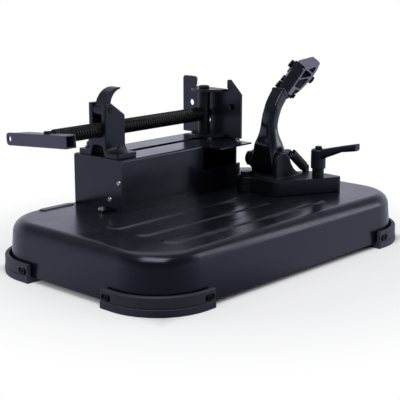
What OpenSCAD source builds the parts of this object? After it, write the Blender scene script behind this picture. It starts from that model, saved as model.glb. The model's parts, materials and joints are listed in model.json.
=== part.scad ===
// Cut-off stand for an angle grinder: pressed-steel base on rubber corner feet,
// a quick-release screw vise on a sheet-steel bed, and a swing arm on a mitre base.
// Origin: centre of the footprint, on the floor. +X runs from the crank to the arm,
// +Y towards the vise side, +Z up.

/* [Base] */
// Footprint length over the rubber feet
base_len = 480; // [440:1:520]
// Footprint width over the rubber feet
base_wid = 301; // [290:1:340]
// Plan radius of the footprint corners
corner_r = 72; // [68:1:76]
// Height of the base's flat top above the floor
base_top = 63.3; // [60:0.1:70]
// Sheet thickness of the pressed base
base_sheet = 2; // [1.5:0.1:3]
// Height of each rubber foot
foot_h = 22; // [20:1:26]

/* [Vise bed] */
// Length of the bed along X
bed_len = 213; // [213:1:220]
// Width of the bed along Y
bed_wid = 85.4; // [80:0.1:90]
// Height of the bed's top above the floor
bed_top = 127.5; // [124:0.5:132]
// Sheet thickness of the bed
bed_sheet = 2.5; // [2:0.1:3]
// Width of the guide slot in the bed's top
slot_wid = 11; // [10.6:0.1:12]

/* [Vise screw] */
// Outside diameter of the trapezoidal screw
screw_d = 18; // [16:1:20]
// Thread pitch
screw_pitch = 4; // [3:0.5:5]
// Height of the screw's axis above the floor
screw_z = 159.6; // [159:0.1:162]
// Radial running clearance of the screw, pins and spigots
run_gap = 0.06; // [0.03:0.01:0.1]
// Outside size of the square crank tube
crank_size = 15; // [14:0.5:16]

/* [Jaw] */
// Overall width of the jaw plate
jaw_wid = 103; // [96:1:110]
// Sheet thickness of the jaw plate
jaw_sheet = 3; // [2.5:0.1:3.5]
// Top of the jaw plate's two ears
jaw_top = 205; // [200:1:208]

/* [Swing arm] */
// Diameter of the arm's pivot axle
axle_d = 12; // [10:1:13]
// Width of the arm at its shoulders
arm_wid = 34; // [30:1:34]
// Width of the arm above its shoulders
arm_neck = 19; // [16:1:24]
// Depth of the arm, front to back
arm_depth = 16; // [14:1:20]
// Radius of the arm's bend
arm_bend = 66; // [60:1:70]

/* [Hidden] */
$fn = 64;
eps = 0.01;

// Base
corner_x = base_len / 2 - corner_r;
corner_y = base_wid / 2 - corner_r;
rim_z = 6.8;
rim_r = corner_r - 7.2;
wall_draft = 0.088;
top_fillet = 16;
wall_top = base_top - top_fillet;
wall_top_r = rim_r - wall_draft * (wall_top - rim_z);
foot_wall_in = rim_r + 1.8;
foot_band = 8.5;
leg_x = 13;
leg_y = 17;
foot_screw_z = 13.5;
foot_screw_d = 4.8;
foot_screw_in = 9;
foot_skin = 2;
rib_h = 1.4;
rib_w = 20;
rib_root = 0.5;

// Vise bed
bed_x0 = -116;
bed_x1 = bed_x0 + bed_len;
bed_yc = 78;
bed_y0 = bed_yc - bed_wid / 2;
bed_y1 = bed_yc + bed_wid / 2;
bed_under = bed_top - bed_sheet;
shelf_x0 = 26;
shelf_x1 = 86;
shelf_depth = 29;
window_z = 95.5;
slot_x0 = -88;
slot_x1 = 84;
end_sheet = 2.5;
tab_x = -122;
tab_y = 65;
end_rivets = [[bed_y0 + 5, 100], [56.7, 78]];
fence_t = 3;
fence_x = bed_x1 - fence_t;
fence_y0 = 41;
fence_y1 = 84;
fence_top = 182;

// Screw support block and its lever
block_x0 = -115;
block_x1 = -83;
block_flange_y = 35;
block_flange_h = 6.5;
block_half = 14.75;
block_flare = 5.6;
cheek_gap = 15.5;
block_top = 192;
lever_x = -107;
lever_z = 183.6;
lever_wid = cheek_gap - 0.3;
lever_pin_d = 6;
block_bolt_x = -101;
block_bolt_y = 28;
block_bolt_d = 6;
block_hole_d = 6.4;
block_washer_d = 14.2;

// Screw and crank
screw_r = screw_d / 2;
screw_x0 = -181;
screw_x1 = 64;
spigot_d = 8;
spigot_x1 = 84.5;
tang_d = 8;
tang_x0 = -196;
crank_x = -190;
crank_tilt = 4.4;
crank_front = 40.5;
crank_back = 68.5;
crank_drop = 2.8;
crank_wall = 1.2;
crank_press = 25;
crank_tab = 12;
crank_flat = 3;
crank_hole_d = 7;
crank_bolt_d = 5;
crank_bolt_hole_d = 5.4;
ring_x = 82;
ring_t = 1;
ring_bore = 6;

// Jaw
post_x = 73;
post_d = 15.6;
trunnion_d = 10;
jaw_x = 87.2;
jaw_bottom = 129.5;
tab_r = 28;
upper_tab = 192.5;

// Mitre base
swivel_x = 83;
swivel_y = 12;
swivel_h = 20;
plate_top = base_top + swivel_h;
plate_x0 = 77;
swivel_lobe_r = 12.2;
swivel_bolt_d = 12;
lock_x = 140;
lock_y = -61;
lock_arc_r = sqrt(pow(lock_x - swivel_x, 2) + pow(lock_y - swivel_y, 2));
lock_angle = atan2(lock_y - swivel_y, lock_x - swivel_x);
mitre_turn = 45;
lever_turn = -84;
stud_d = 8;
collar_d = 15.3;
hub_d = 19.2;
hub_z0 = 95;
hub_z1 = 120;
core_d = 10;
core_h = 12.2;
cap_d = 9;
cap_screw_d = 4;
spring_seat = 8.5;

// Arm
pivot_x = 100;
pivot_z = 104;
arm_y = -11;
lug_r = 13;
lug_skin = 1.2;
near_lug_y = -35.2;
near_lug_t = 6;
far_lug_y = 8;
far_lug_t = 5;
far_lug_x0 = 94;
boss_r = 13.5;
bend_z = 140;
bend_turn = 50;
arm_end_x = pivot_x + arm_bend * (1 - cos(bend_turn));
arm_end_z = bend_z + arm_bend * sin(bend_turn);
bracket_turn = 55;
bracket_stud_d = 10;
block_half_w = 7;
bracket_half_t = 6;
frame_web = 2.4;
bolt_x = [7, 43.3];
clamp_bolt_d = 6;
spring_top = [125, -26, 112.5];
spring_end = [157, -28, 89.5];
return_spring_d = 13.2;

// Points of an arc about [cx, cy] from a0 to a1 in n steps
function arc(cx, cy, r, a0, a1, n) = [
  for (i = [0:n]) let (a = a0 + (a1 - a0) * i / n) [cx + r * cos(a), cy + r * sin(a)]
];

// ---- shared shapes ----

// Stadium outline: length over all l, width w, along x
module stadium(l, w) {
  square([l - w, w], center = true);
  for (s = [-1, 1]) translate([s * (l - w) / 2, 0]) circle(d = w);
}

// Rectangle with four round corners
module round_rect(l, w, r) {
  square([l - 2 * r, w], center = true);
  square([l, w - 2 * r], center = true);
  for (sx = [-1, 1], sy = [-1, 1]) translate([sx * (l / 2 - r), sy * (w / 2 - r)]) circle(r);
}

// Hexagon prism by its size across flats
module hex(af, h) {
  cylinder(d = af / cos(30), h = h, $fn = 6);
}

// Hexagon head with a chamfered top, standing on z = 0
module hex_head(af, h) {
  intersection() {
    hex(af, h);
    union() {
      cylinder(d = af / cos(30) + 1, h = h * 0.8);
      translate([0, 0, h * 0.8 - eps])
        cylinder(d1 = af / cos(30), d2 = af * 0.92, h = h * 0.2 + eps, $fn = 48);
    }
  }
}

// Extrudes an XZ outline along +Y from y0 over w
module along_y(y0, w) {
  translate([0, y0 + w, 0]) rotate([90, 0, 0]) linear_extrude(w) children();
}

// Extrudes a YZ outline along +X from x0 over l
module along_x(x0, l) {
  translate([x0, 0, 0]) rotate([90, 0, 90]) linear_extrude(l) children();
}

// Moves its children into the arm end's frame: x along the arm, z across it
module at_arm_end(turn = 0) {
  translate([arm_end_x, arm_y, arm_end_z]) rotate([0, bend_turn - 90, 0]) rotate([turn, 0, 0]) children();
}

// ---- base ----

// Half outline of the pan from its centre outwards, inset by t
module pan_profile(t) {
  z0 = t > 0 ? -1 : rim_z;
  polygon(concat(
    [[0, z0], [rim_r - t, z0]],
    arc(wall_top_r - top_fillet, wall_top, top_fillet - t, 5, 90, 12),
    [[0, base_top - t]]
  ));
}

// Solid pan: four revolved corners joined by two crossing prisms
module pan_solid(t) {
  for (sx = [-1, 1], sy = [-1, 1]) translate([sx * corner_x, sy * corner_y, 0])
    rotate_extrude($fn = 96) pan_profile(t);
  for (s = [0, 180]) rotate([0, 0, s]) {
    translate([corner_x, corner_y, 0]) rotate([90, 0, 0]) linear_extrude(2 * corner_y) pan_profile(t);
    translate([-corner_x, corner_y, 0]) rotate([90, 0, 90]) linear_extrude(2 * corner_x) pan_profile(t);
  }
  translate([-corner_x, -corner_y, rim_z]) cube([2 * corner_x, 2 * corner_y, base_top - t - rim_z]);
}

// Slot along which the lock stud travels
module lock_slot(w, z0, h) {
  translate([swivel_x, swivel_y, z0]) {
    rotate([0, 0, lock_angle]) rotate_extrude(angle = mitre_turn, $fn = 128)
      translate([lock_arc_r - w / 2, 0]) square([w, h]);
    for (a = [0, mitre_turn]) rotate([0, 0, lock_angle + a]) translate([lock_arc_r, 0, 0])
      cylinder(d = w - 0.06, h = h);
  }
}

// Pressed rib, a low stadium with a step round it
module rib(x0, x1, y, w = rib_w) {
  translate([(x0 + x1) / 2, y, base_top - rib_root]) {
    linear_extrude(rib_root + rib_h * 0.5) stadium(x1 - x0, w);
    linear_extrude(rib_root + rib_h) stadium(x1 - x0 - 4, w - 5);
  }
}

// Puts its children at each foot screw, pointing outwards
module foot_screw_places() {
  for (sx = [-1, 1], sy = [-1, 1]) {
    translate([sx * (corner_x - leg_x + foot_screw_in), sy * corner_y, foot_screw_z])
      rotate([sy > 0 ? -90 : 90, 0, 0]) children();
    translate([sx * corner_x, sy * (corner_y - leg_y + foot_screw_in), foot_screw_z])
      rotate([0, sx > 0 ? 90 : -90, 0]) rotate([0, 0, 90]) children();
  }
}

// Pressed pan with its ribs, open below
module base_cover() {
  color([0.16, 0.16, 0.19]) difference() {
    union() {
      pan_solid(0);
      rib(-171, 107, -90);
      rib(-171, 54, -46.5);
      rib(-171, 54, -3);
      rib(-171, -119, 121, 10);
    }
    pan_solid(base_sheet);
    translate([-corner_x, -corner_y, 0]) cube([2 * corner_x, 2 * corner_y, rim_z + 1]);
    foot_screw_places() translate([0, 0, rim_r - 10]) cylinder(d = foot_screw_d + 0.2, h = 14);
    translate([swivel_x, swivel_y, 40]) cylinder(d = swivel_bolt_d + 0.4, h = 40);
    lock_slot(stud_d + 0.8, 40, 40);
    translate([tab_x, tab_y, 40]) cylinder(d = 5.4, h = 40);
  }
}

// Section of a foot from its corner's centre outwards: skirt, groove and flat underside
module foot_profile() {
  polygon([
    [rim_r - 20, 0], [corner_r - 0.8, 0], [corner_r, 1.2], [corner_r, foot_band - 0.6],
    [corner_r - 1, foot_band], [corner_r - 1, foot_band + 0.8], [corner_r - 0.5, foot_band + 1.4],
    [corner_r - 0.7, foot_h - 1], [corner_r - 1.7, foot_h], [foot_wall_in, foot_h],
    [foot_wall_in, rim_z], [rim_r - 20, rim_z]
  ]);
}

module foot_recess() {
  translate([0, 0, foot_skin]) linear_extrude(10) stadium(15, 8);
  translate([0, 0, -foot_skin]) cylinder(d = foot_screw_d + 0.4, h = 8);
}

// One corner foot in its own corner's frame: the corner's centre at the origin, the corner in +X +Y
module corner_foot() {
  difference() {
    union() {
      rotate_extrude(angle = 90, $fn = 96) foot_profile();
      rotate([90, 0, 0]) linear_extrude(leg_y) foot_profile();
      translate([-leg_x, 0, 0]) rotate([90, 0, 90]) linear_extrude(leg_x) foot_profile();
    }
    // recess and hole for the screw in each leg
    translate([foot_screw_in - leg_x, foot_wall_in, foot_screw_z]) rotate([-90, 0, 0]) foot_recess();
    translate([foot_wall_in, foot_screw_in - leg_y, foot_screw_z]) rotate([0, 90, 0]) rotate([0, 0, 90])
      foot_recess();
  }
}

module placed_foot(sx, sy) {
  color([0.12, 0.12, 0.13]) translate([sx * corner_x, sy * corner_y, 0])
    mirror([sx < 0 ? 1 : 0, 0, 0]) mirror([0, sy < 0 ? 1 : 0, 0]) corner_foot();
}

module foot_front_right() { placed_foot(-1, -1); }
module foot_front_left() { placed_foot(-1, 1); }
module foot_rear_right() { placed_foot(1, -1); }
module foot_rear_left() { placed_foot(1, 1); }

// Eight countersunk screws that hold the feet
module foot_screws() {
  color([0.1, 0.1, 0.1]) foot_screw_places() {
    translate([0, 0, rim_r - 9]) cylinder(d = foot_screw_d, h = foot_wall_in + foot_skin - rim_r + 9);
    translate([0, 0, foot_wall_in + foot_skin]) difference() {
      cylinder(d1 = 7.6, d2 = 5.6, h = 2.4);
      translate([0, 0, 1]) hex(3, 3);
    }
  }
}

// ---- vise bed ----

module block_bolt_places() {
  for (s = [-1, 1]) translate([block_bolt_x, bed_yc + s * block_bolt_y, 0]) children();
}

// Channel with rounded shoulders, open below
module channel_section() {
  difference() {
    translate([bed_y0, base_top]) {
      square([bed_wid, bed_top - base_top - 3]);
      translate([3, 0]) square([bed_wid - 6, bed_top - base_top]);
      for (y = [3, bed_wid - 3]) translate([y, bed_top - base_top - 3]) circle(3);
    }
    translate([bed_y0 + bed_sheet, base_top - 1]) square([bed_wid - 2 * bed_sheet, bed_under - base_top + 1]);
  }
}

// Channel with the guide slot, the window and the bent-out work shelf
module vise_bed() {
  color([0.13, 0.13, 0.15]) {
    difference() {
      along_x(bed_x0 + end_sheet, bed_len - end_sheet) channel_section();
      // window left by the work shelf
      translate([shelf_x0, bed_y0 - 1, window_z])
        cube([bed_x1 - shelf_x0 + 1, 1 + bed_sheet, bed_under - window_z]);
      translate([(slot_x0 + slot_x1) / 2, bed_yc, bed_under - 1])
        linear_extrude(bed_sheet + 2) stadium(slot_x1 - slot_x0, slot_wid);
      translate([fence_x - 0.1, fence_y0 - 0.1, bed_under - 1])
        cube([fence_t + 1, fence_y1 - fence_y0 + 0.2, bed_sheet + 2]);
      block_bolt_places() translate([0, 0, bed_under - 1]) cylinder(d = block_hole_d, h = bed_sheet + 2);
    }
    // work shelf: the window's flap, bent out level with the bed's top
    translate([shelf_x0, bed_y0 - shelf_depth, bed_top - 2]) cube([shelf_x1 - shelf_x0, shelf_depth + 3, 2]);
  }
}

// Plate that closes the bed's crank end, with a foot tab
module bed_end_plate() {
  color([0.13, 0.13, 0.15]) difference() {
    union() {
      along_x(bed_x0, end_sheet) translate([bed_yc, (bed_top + base_top) / 2]) union() {
        round_rect(bed_wid, bed_top - base_top, 4);
        translate([-bed_wid / 2, -(bed_top - base_top) / 2]) square([bed_wid, 8]);
      }
      translate([tab_x - 6, tab_y - 8, base_top]) cube([bed_x0 - tab_x + 6 + end_sheet, 16, end_sheet]);
    }
    translate([tab_x, tab_y, base_top - 1]) cylinder(d = 5.4, h = 6);
    for (p = end_rivets) translate([bed_x0 - 1, p[0], p[1]]) rotate([0, 90, 0]) cylinder(d = 4, h = 6);
  }
}

// Fixed fence that the jaw closes against
module fence_plate() {
  color([0.13, 0.13, 0.15]) along_x(fence_x, fence_t) {
    translate([fence_y0, base_top]) square([bed_y1 - bed_sheet - fence_y0 - 0.1, bed_under - base_top]);
    translate([fence_y0, bed_under - 1]) square([fence_y1 - fence_y0, fence_top - bed_under - 5]);
    translate([fence_y0 + 6, fence_top - 7]) square([fence_y1 - fence_y0 - 12, 7]);
    for (y = [fence_y0 + 6, fence_y1 - 6]) translate([y, fence_top - 6]) circle(6);
  }
}

// Rivets of the end plate and the screw of its tab
module bed_screws() {
  color([0.3, 0.3, 0.3]) {
    translate([tab_x, tab_y, base_top + end_sheet]) {
      difference() {
        cylinder(d1 = 9, d2 = 7, h = 2.6);
        translate([0, 0, 1.2]) hex(3, 3);
      }
      translate([0, 0, -12]) cylinder(d = 5, h = 12);
    }
    for (p = end_rivets) translate([bed_x0, p[0], p[1]]) rotate([0, -90, 0]) {
      cylinder(d1 = 7, d2 = 4.5, h = 1.6);
      translate([0, 0, -5]) cylinder(d = 4, h = 5);
    }
  }
}

// ---- screw support ----

// Side outline of the screw support block
module block_side() {
  polygon([
    [block_x0, bed_top], [block_x1, bed_top], [block_x1, 176], [block_x1 - 2, 178],
    [-103, 191], [-105, block_top], [block_x0, block_top]
  ]);
}

// Front outline of the screw support block
module block_front() {
  // upright with flared feet, over an arched opening
  translate([-block_half, bed_top]) square([2 * block_half, block_top - bed_top]);
  for (s = [-1, 1]) difference() {
    translate([s > 0 ? block_half - 1 : -block_half - block_flare, bed_top + block_flange_h - 1])
      square(block_flare + 1);
    translate([s * (block_half + block_flare), bed_top + block_flange_h + block_flare]) circle(block_flare);
  }
}

module screw_block() {
  color([0.2, 0.2, 0.23]) difference() {
    union() {
      intersection() {
        along_y(bed_yc - 40, 80) block_side();
        along_x(block_x0 - 1, block_x1 - block_x0 + 2) translate([bed_yc, 0]) block_front();
      }
      translate([(block_x0 + block_x1) / 2, bed_yc, bed_top])
        linear_extrude(block_flange_h) round_rect(block_x1 - block_x0, 2 * block_flange_y, 2.5);
    }
    // bore for the screw, open at the top for the half nut
    translate([block_x0 - 1, bed_yc, screw_z]) rotate([0, 90, 0])
      cylinder(r = screw_r + run_gap, h = block_x1 - block_x0 + 2);
    translate([block_x0 - 1, bed_yc - cheek_gap / 2, screw_z]) cube([block_x1 - block_x0 + 2, cheek_gap, 50]);
    // arched opening through the foot
    along_x(block_x0 - 1, block_x1 - block_x0 + 2) translate([bed_yc, 0])
      polygon([
        [-12.5, bed_top - 1], [-9, bed_top + 11.5], [-6, bed_top + 14],
        [6, bed_top + 14], [9, bed_top + 11.5], [12.5, bed_top - 1]
      ]);
    translate([lever_x, bed_yc - 20, lever_z]) rotate([-90, 0, 0]) cylinder(d = lever_pin_d + 0.02, h = 40);
    block_bolt_places() translate([0, 0, bed_top - 1]) cylinder(d = block_hole_d, h = 12);
  }
}

// Two studs through the block's feet with washers and nuts
module block_nuts() {
  washer_t = 1.6;
  nut_h = 5.6;
  seat = bed_top + block_flange_h;
  under = bed_under - 0.1;
  color([0.35, 0.35, 0.36]) block_bolt_places() {
    translate([0, 0, under - 9]) cylinder(d = block_bolt_d, h = seat + washer_t + nut_h + 3.4 - under + 9);
    translate([0, 0, seat]) cylinder(d = block_washer_d, h = washer_t);
    translate([0, 0, seat + washer_t]) hex_head(10, nut_h);
    translate([0, 0, under - washer_t]) cylinder(d = block_washer_d, h = washer_t);
    translate([0, 0, under - washer_t - 5]) hex(10, 5);
  }
}

module lever_outline() {
  translate([lever_x, lever_z]) circle(7.4);
  polygon([
    [-110.5, 181], [-110.5, 187.4], [-98.8, 191], [-94, 181],
    [-85, 176], [-85, 163], [-105.5, 163], [-105.5, 178]
  ]);
}

// Thumb horn: a crescent between two arcs
module horn_outline() {
  intersection() {
    difference() {
      translate([-86, 184]) circle(25);
      translate([-80, 188]) circle(19.5);
    }
    polygon([[-114, 184], [-114, 212], [-83, 212], [-83, 202], [-97, 188], [-101, 184]]);
  }
}

// Quick-release lever whose lower face presses on the screw
module half_nut_lever() {
  color([0.25, 0.25, 0.28]) difference() {
    union() {
      along_y(bed_yc - lever_wid / 2, lever_wid) lever_outline();
      along_y(bed_yc - lever_wid / 2, lever_wid) horn_outline();
    }
    translate([-120, bed_yc, screw_z]) rotate([0, 90, 0]) cylinder(r = screw_r + run_gap, h = 50);
    translate([-120, bed_yc - 12, 150]) cube([50, 24, 15.6]);
    translate([lever_x, bed_yc - 12, lever_z]) rotate([-90, 0, 0])
      cylinder(d = lever_pin_d + 2 * run_gap, h = 24);
  }
}

module half_nut_pin() {
  color([0.5, 0.5, 0.5]) translate([lever_x, bed_yc - block_half - 0.4, lever_z]) rotate([-90, 0, 0])
    cylinder(d = lever_pin_d, h = 2 * block_half + 0.8);
}

// ---- screw and crank ----

// Half outline of the screw, from the tang to the spigot
module screw_profile() {
  depth = 2.2;
  turns = floor((screw_x1 - screw_x0 - 22) / screw_pitch);
  start = 3;
  ridges = [for (i = [0:turns - 1]) let (x = start + i * screw_pitch) each
    [[screw_r, x], [screw_r - depth, x + 0.9], [screw_r - depth, x + 1.9], [screw_r, x + 2.8]]];
  length = screw_x1 - screw_x0;
  polygon(concat(
    [[0, tang_x0 - screw_x0], [tang_d / 2, tang_x0 - screw_x0], [tang_d / 2, 0]],
    [[screw_r - 1, 0], [screw_r, 1]],
    ridges,
    [[screw_r, length - 1.5], [screw_r - 1.5, length], [spigot_d / 2, length + 1]],
    [[spigot_d / 2, spigot_x1 - screw_x0], [0, spigot_x1 - screw_x0]]
  ));
}

module vise_screw() {
  color([0.15, 0.15, 0.14]) difference() {
    translate([screw_x0, bed_yc, screw_z]) rotate([0, 90, 0]) rotate_extrude() screw_profile();
    crank_frame() cylinder(d = crank_bolt_hole_d, h = 40, center = true);
    // groove for the retaining ring
    translate([ring_x, bed_yc, screw_z]) rotate([0, 90, 0]) difference() {
      cylinder(d = spigot_d + 4, h = ring_t + 0.2);
      translate([0, 0, -1]) cylinder(d = ring_bore, h = ring_t + 3);
    }
  }
}

// Moves its children to the crank's centre, tilted as the crank rests
module crank_frame() {
  translate([crank_x, bed_yc, screw_z - crank_drop]) rotate([-crank_tilt, 0, 0]) children();
}

// Square tube crank: open near end, far end pressed flat and drilled
module crank_tube() {
  half = crank_size / 2;
  bore = half - crank_wall;
  color([0.25, 0.25, 0.29]) difference() {
    crank_frame() difference() {
      intersection() {
        translate([0, 0, -half]) linear_extrude(crank_size) polygon([
          [-half, -crank_front], [half, -crank_front], [half, crank_back - crank_press],
          [crank_flat - half, crank_back - crank_tab], [crank_flat - half, crank_back], [-half, crank_back]
        ]);
        along_x(-half, crank_size) polygon([
          [-crank_front, -half], [-crank_front, half], [crank_back - 4, half],
          [crank_back - 1.2, half - 1.2], [crank_back, half - 4],
          [crank_back, 4 - half], [crank_back - 1.2, 1.2 - half], [crank_back - 4, -half]
        ]);
      }
      translate([0, 0, -bore]) linear_extrude(2 * bore) polygon([
        [-bore, -crank_front - 1], [bore, -crank_front - 1],
        [bore, crank_back - crank_press - 0.6], [-bore, crank_back - crank_tab - 0.5]
      ]);
      translate([0, crank_back - 5.5, 0]) rotate([0, 90, 0])
        cylinder(d = crank_hole_d, h = 2 * crank_size, center = true);
      cylinder(d = crank_bolt_hole_d, h = 2 * crank_size, center = true);
    }
    // seat of the screw's tang
    translate([tang_x0 - 0.2, bed_yc, screw_z]) rotate([0, 90, 0]) cylinder(d = tang_d, h = 20);
  }
}

// Bolt that pins the crank on the tang, threaded in the tube's lower wall
module crank_bolt() {
  color([0.1, 0.1, 0.1]) crank_frame() {
    translate([0, 0, -crank_size / 2]) cylinder(d = crank_bolt_d, h = crank_size + 1);
    translate([0, 0, crank_size / 2 + 0.02]) hex_head(8, 3.3);
  }
}

module spigot_ring() {
  color([0.4, 0.4, 0.4]) translate([ring_x + 0.1, bed_yc, screw_z]) rotate([0, 90, 0]) difference() {
    cylinder(d = 11, h = ring_t);
    translate([0, 0, -1]) cylinder(d = ring_bore + 0.1, h = ring_t + 2);
    translate([-2, 0, -1]) cube([4, 8, ring_t + 2]);
  }
}

// ---- jaw ----

// Front outline of the jaw plate
module jaw_outline() {
  half = jaw_wid / 2;
  difference() {
    translate([bed_yc, 0]) {
      translate([-half, jaw_bottom]) square([jaw_wid, upper_tab - jaw_bottom - 5]);
      translate([-28, jaw_bottom]) square([56, upper_tab - jaw_bottom]);
      // left ear with round corners, right ear with a sloped edge
      translate([28, 180]) square([half - 28, jaw_top - 184]);
      translate([31, 180]) square([half - 34, jaw_top - 180]);
      translate([31, jaw_top - 4]) circle(3.5);
      translate([half - 4, jaw_top - 4]) circle(4);
      polygon([
        [-28, 180], [-28, jaw_top - 1.5], [-29.5, jaw_top],
        [-33, jaw_top], [-half, jaw_top - 18], [-half, 180]
      ]);
    }
    for (s = [-1, 1]) translate([bed_yc + s * 36, 169.5]) circle(d = 8.5);
    translate([82, 149]) circle(d = 5.3);
    // relief cuts beside the bent tabs
    for (s = [-1, 1], z = [jaw_bottom, upper_tab]) translate([bed_yc + s * 28, z]) circle(1.4);
  }
}

// Half-round tab bent back round the post
module jaw_tab(z) {
  translate([jaw_x + eps, bed_yc, z]) linear_extrude(jaw_sheet) difference() {
    circle(tab_r - 1.5);
    translate([0, -50]) square([100, 100]);
    translate([post_x - jaw_x - eps, 0]) circle(d = trunnion_d + 2 * run_gap);
  }
}

module jaw_plate() {
  color([0.17, 0.17, 0.19]) {
    along_x(jaw_x, jaw_sheet) jaw_outline();
    jaw_tab(jaw_bottom);
    jaw_tab(upper_tab - jaw_sheet);
  }
}

// Post that the screw's spigot turns in and the jaw pivots on
module jaw_post() {
  color([0.24, 0.24, 0.25]) difference() {
    translate([post_x, bed_yc, 0]) {
      translate([0, 0, jaw_bottom + jaw_sheet + 0.1])
        cylinder(d = post_d, h = upper_tab - jaw_bottom - 2 * jaw_sheet - 0.2);
      translate([0, 0, 112]) cylinder(d = trunnion_d, h = upper_tab + 3.4 - 112);
    }
    translate([post_x - 20, bed_yc, screw_z]) rotate([0, 90, 0]) cylinder(d = spigot_d + 2 * run_gap, h = 40);
  }
}

module post_cap() {
  color([0.24, 0.24, 0.25]) translate([post_x, bed_yc, upper_tab + 0.15]) difference() {
    union() {
      cylinder(d = 14, h = 3);
      translate([0, 0, 3 - eps]) cylinder(d1 = 14, d2 = 12.6, h = 0.8);
    }
    translate([0, 0, -1]) cylinder(d = trunnion_d, h = 8);
  }
}

module guide_washer() {
  color([0.4, 0.4, 0.4]) translate([post_x, bed_yc, bed_under - 2.3]) difference() {
    cylinder(d = 24, h = 2);
    translate([0, 0, -1]) cylinder(d = trunnion_d, h = 4);
  }
}

module guide_nut() {
  color([0.4, 0.4, 0.4]) translate([post_x, bed_yc, bed_under - 10.3]) difference() {
    hex(17, 8);
    translate([0, 0, -1]) cylinder(d = trunnion_d, h = 10);
  }
}

// ---- mitre base ----

// Plan outline of the mitre base
module swivel_outline() {
  translate([swivel_x, swivel_y]) circle(swivel_lobe_r);
  polygon([
    [swivel_x + 6, swivel_y + 10], [swivel_x, swivel_y], [plate_x0, swivel_y], [plate_x0, -38],
    [plate_x0 + 1.2, -41.6], [plate_x0 + 4, -44], [157, -81], [160.5, -81.6], [163.5, -80], [165.3, -77.5],
    [165.7, -74.5], [166, -34], [165, -30.3], [162, -27.5], [121, 14], [108.5, 17]
  ]);
}

// Upright lug round the pivot; the near one flares out along the plate, the far one clears the swivel bolt
module lug_outline(flare) {
  left = flare ? pivot_x - lug_r : far_lug_x0;
  translate([pivot_x, pivot_z]) circle(lug_r);
  translate([left, plate_top - 1]) square([pivot_x + lug_r - left, pivot_z - plate_top + 1]);
  if (flare) difference() {
    translate([pivot_x, plate_top - 1]) square([46, 33]);
    translate([pivot_x + lug_r + 35, pivot_z + 14.5]) circle(35, $fn = 128);
    translate([pivot_x, pivot_z]) square([lug_r, 40]);
  }
}

// Mitre base: plate with the two pivot lugs
module swivel_base() {
  color([0.2, 0.2, 0.22]) difference() {
    union() {
      translate([0, 0, base_top]) linear_extrude(swivel_h) swivel_outline();
      along_y(near_lug_y, near_lug_t) lug_outline(true);
      along_y(far_lug_y, far_lug_t) lug_outline(false);
      // stop rib between the lugs
      translate([pivot_x + 14.5, near_lug_y + 1, plate_top - 1])
        cube([6, far_lug_y + far_lug_t - near_lug_y - 2, 13]);
      translate([far_lug_x0, far_lug_y, plate_top - 1]) cube([27, far_lug_t, 14]);
    }
    translate([swivel_x, swivel_y, base_top - 1]) cylinder(d = swivel_bolt_d + 2 * run_gap, h = 40);
    translate([lock_x, lock_y, base_top - 1]) cylinder(d = stud_d + 2 * run_gap, h = 40);
    translate([pivot_x, near_lug_y + lug_skin, pivot_z]) rotate([-90, 0, 0]) cylinder(d = axle_d, h = 60);
    // cored underside
    translate([0, 0, base_top - 1]) linear_extrude(swivel_h - 5) difference() {
      polygon([[112, -2], [155, -36], [155, -72], [153, -73], [88, -41], [88, -12]]);
      translate([lock_x, lock_y]) circle(12);
      translate([swivel_x, swivel_y]) circle(25);
    }
  }
}

module swivel_bolt() {
  color([0.3, 0.3, 0.3]) translate([swivel_x, swivel_y, 0]) {
    translate([0, 0, base_top - 14]) cylinder(d = swivel_bolt_d, h = 14 + swivel_h + 2.2);
    translate([0, 0, plate_top + 2.2]) hex_head(13.5, 4.2);
    translate([0, 0, base_top - base_sheet - 10.1]) hex(18, 10);
  }
}

module swivel_washer() {
  color([0.3, 0.3, 0.3]) translate([swivel_x, swivel_y, plate_top + 0.1]) difference() {
    cylinder(d = 20, h = 2.1);
    translate([0, 0, -1]) cylinder(d = swivel_bolt_d, h = 4);
  }
}

// Axle screwed in from the far side, its end in the near lug's blind bore
module pivot_axle() {
  start = near_lug_y + lug_skin + 0.1;
  end = far_lug_y + far_lug_t + 2;
  color([0.3, 0.3, 0.3]) translate([pivot_x, 0, pivot_z]) rotate([-90, 0, 0]) {
    translate([0, 0, start]) cylinder(d = axle_d, h = end - start);
    translate([0, 0, end]) hex_head(18, 7);
  }
}

module pivot_washers() {
  near = near_lug_y + near_lug_t;
  arm_y0 = arm_y - arm_wid / 2;
  arm_y1 = arm_y + arm_wid / 2;
  // [start along the axle, thickness]
  washers = [
    [near + 0.05, arm_y0 - near - 0.1],
    [arm_y1 + 0.05, far_lug_y - arm_y1 - 0.1],
    [far_lug_y + far_lug_t, 2]
  ];
  color([0.5, 0.5, 0.5]) translate([pivot_x, 0, pivot_z]) rotate([-90, 0, 0]) for (w = washers)
    translate([0, 0, w[0]]) difference() {
      cylinder(d = 20, h = w[1]);
      translate([0, 0, -1]) cylinder(d = axle_d + 0.02, h = w[1] + 2);
    }
}

// Stud through the slot with its collar and splined core
module lock_stud() {
  color([0.4, 0.4, 0.4]) translate([lock_x, lock_y, 0]) {
    translate([0, 0, base_top - 14]) cylinder(d = stud_d, h = plate_top + 0.1 - base_top + 14 + eps);
    translate([0, 0, plate_top + 0.1]) cylinder(d = collar_d, h = hub_z0 - plate_top - 0.2);
    translate([0, 0, hub_z0 - 0.2]) difference() {
      cylinder(d = core_d, h = core_h);
      translate([0, 0, 3]) cylinder(d = cap_screw_d, h = core_h);
    }
  }
}

module lock_nut_plate() {
  color([0.4, 0.4, 0.4]) translate([lock_x, lock_y, base_top - base_sheet - 8.2]) difference() {
    rotate([0, 0, lock_angle]) translate([-9, -9, 0]) cube([18, 18, 8]);
    translate([0, 0, -1]) cylinder(d = stud_d + 2 * run_gap, h = 10);
  }
}

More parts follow.
